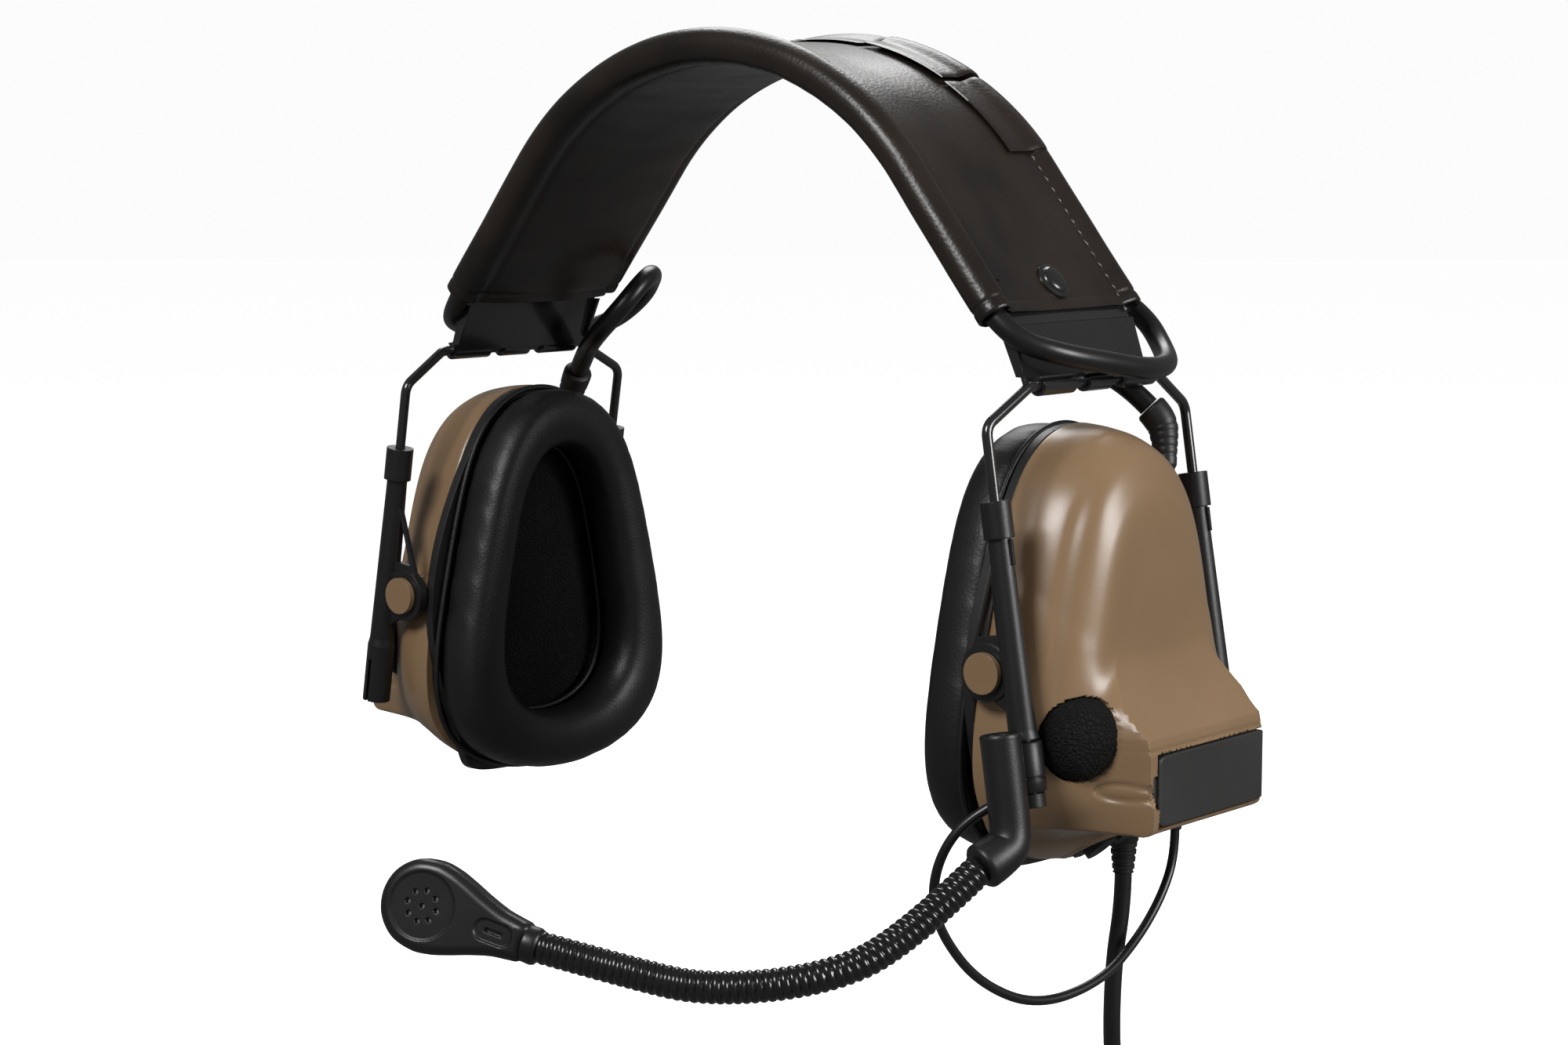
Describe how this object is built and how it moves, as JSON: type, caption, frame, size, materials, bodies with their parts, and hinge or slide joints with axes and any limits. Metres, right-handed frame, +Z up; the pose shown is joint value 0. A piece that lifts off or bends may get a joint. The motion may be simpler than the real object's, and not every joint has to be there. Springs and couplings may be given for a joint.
{
  "type": "radio headphones",
  "caption": "Over-ear radio headset with a padded sprung headband, wire yokes, domed battery-powered cups, a boom microphone and a plug-ended downlead.",
  "frame": {"origin": "the crown rest: middle of the headband's underside, where it sits on the head", "axes": "+X to the wearer's left, -Y forward (the way the face looks), +Z up"},
  "size_m": [0.2668, 0.2049, 0.3801],
  "materials": {
    "spring_steel": "gloss black enamel on spring steel",
    "pad_foam": "open-cell foam",
    "leatherette": "black fine-grained leatherette, semi-gloss",
    "snap_metal": "black painted press stud",
    "cable_jacket": "satin black jacket",
    "nylon": "black glass-filled nylon, satin",
    "tan_shell": "tan, low gloss with a fine grain",
    "plate_plastic": "black satin",
    "cushion_skin": "black soft protein leather",
    "open_foam": "black open-cell foam",
    "speaker_plastic": "dark basket",
    "board": "green solder mask",
    "capsule_metal": "brushed can",
    "battery_jacket": "plain printed steel jacket",
    "contact_metal": "nickel plated",
    "door_rubber": "dark grey, satin",
    "boot_rubber": "soft black rubber",
    "gooseneck_sleeve": "ribbed glossy black sleeve",
    "mic_plastic": "black satin",
    "plug_metal": "plated plug contacts",
    "plug_insulator": "black rings"
  },
  "bodies": {
    "headband": {"headband_spring": "spring_steel", "headband_pad": "pad_foam", "headband_cover": "leatherette", "cover_flaps": "leatherette", "press_snaps": "snap_metal", "crossover_cable": "cable_jacket", "left_crossover_loop": "cable_jacket", "right_crossover_loop": "cable_jacket"},
    "left_yoke": {"left_yoke_wire": "spring_steel"},
    "left_arms": {"left_front_arm": "nylon", "left_rear_arm": "nylon", "left_arm_caps": "nylon"},
    "left_cup": {"left_cup_shell": "tan_shell", "left_pivot_studs": "tan_shell", "left_back_plate": "plate_plastic", "left_ear_cushion": "cushion_skin", "left_foam_liner": "open_foam", "left_speaker": "speaker_plastic", "left_circuit_board": "board", "left_ambient_mic": "capsule_metal", "left_windscreen": "open_foam", "left_battery": "battery_jacket", "left_battery_contacts": "contact_metal", "left_strain_relief": "boot_rubber", "mic_lead": "cable_jacket", "mic_lead_plug": "boot_rubber", "downlead_gland": "boot_rubber", "downlead": "cable_jacket", "downlead_coil": "cable_jacket", "downlead_tail": "cable_jacket", "coil_tie": "boot_rubber", "plug_grip": "boot_rubber", "plug_contacts": "plug_metal", "plug_insulators": "plug_insulator"},
    "left_door": {"left_battery_door": "door_rubber"},
    "right_yoke": {"right_yoke_wire": "spring_steel"},
    "right_arms": {"right_front_arm": "nylon", "right_rear_arm": "nylon", "right_arm_caps": "nylon"},
    "right_cup": {"right_cup_shell": "tan_shell", "right_pivot_studs": "tan_shell", "right_back_plate": "plate_plastic", "right_ear_cushion": "cushion_skin", "right_foam_liner": "open_foam", "right_speaker": "speaker_plastic", "right_circuit_board": "board", "right_ambient_mic": "capsule_metal", "right_windscreen": "open_foam", "right_battery": "battery_jacket", "right_battery_contacts": "contact_metal", "right_strain_relief": "boot_rubber"},
    "right_door": {"right_battery_door": "door_rubber"},
    "boom": {"boom_bracket": "nylon"},
    "boom_arm": {"gooseneck": "gooseneck_sleeve", "mic_head_front": "mic_plastic", "mic_head_back": "mic_plastic", "boom_capsule": "capsule_metal"},
    "volume_up": {"volume_up_button": "boot_rubber"},
    "volume_down": {"volume_down_button": "boot_rubber"}
  },
  "joints": [
    {"name": "left_yoke_hinge", "type": "hinge", "parent": "headband", "child": "left_yoke", "pos_m": [0.0996, 0, -0.0767], "axis": [0, -1, 0], "range_deg": [-12, 25], "deforming": ["left_crossover_loop"]},
    {"name": "left_height", "type": "slide", "parent": "left_yoke", "child": "left_arms", "axis": [0.1564, 0, -0.9877], "range_m": [-0.002, 0.02]},
    {"name": "left_cup_tilt", "type": "hinge", "parent": "left_arms", "child": "left_cup", "pos_m": [0.0994, 0, -0.1432], "axis": [0, -1, 0], "range_deg": [-8, 8]},
    {"name": "left_door_hinge", "type": "hinge", "parent": "left_cup", "child": "left_door", "pos_m": [0.1304, 0.026, -0.1712], "axis": [0, 0, 1], "range_deg": [0, 100]},
    {"name": "right_yoke_hinge", "type": "hinge", "parent": "headband", "child": "right_yoke", "pos_m": [-0.0996, 0, -0.0767], "axis": [0, 1, 0], "range_deg": [-12, 25], "deforming": ["right_crossover_loop"]},
    {"name": "right_height", "type": "slide", "parent": "right_yoke", "child": "right_arms", "axis": [-0.1564, 0, -0.9877], "range_m": [-0.002, 0.02]},
    {"name": "right_cup_tilt", "type": "hinge", "parent": "right_arms", "child": "right_cup", "pos_m": [-0.0994, 0, -0.1432], "axis": [0, 1, 0], "range_deg": [-8, 8]},
    {"name": "right_door_hinge", "type": "hinge", "parent": "right_cup", "child": "right_door", "pos_m": [-0.1304, 0.026, -0.1712], "axis": [0, 0, -1], "range_deg": [0, 100]},
    {"name": "boom_swing", "type": "hinge", "parent": "left_arms", "child": "boom", "pos_m": [0.10739, -0.0426, -0.1432], "axis": [-0.1564, 0, 0.9877], "range_deg": [-10, 50], "deforming": ["mic_lead"]},
    {"name": "gooseneck_bend", "type": "hinge", "parent": "boom", "child": "boom_arm", "pos_m": [0.1102, -0.0608, -0.186], "axis": [0.6073, -0.7944, 0], "range_deg": [-25, 25], "deforming": ["gooseneck"]},
    {"name": "volume_up_press", "type": "slide", "parent": "left_cup", "child": "volume_up", "axis": [-0.6777, -0.0672, 0.7323], "range_m": [0, 0.0008], "stiffness_N_per_m": 1500},
    {"name": "volume_down_press", "type": "slide", "parent": "left_cup", "child": "volume_down", "axis": [-0.6777, -0.0672, 0.7323], "range_m": [0, 0.0008], "stiffness_N_per_m": 1500}
  ]
}
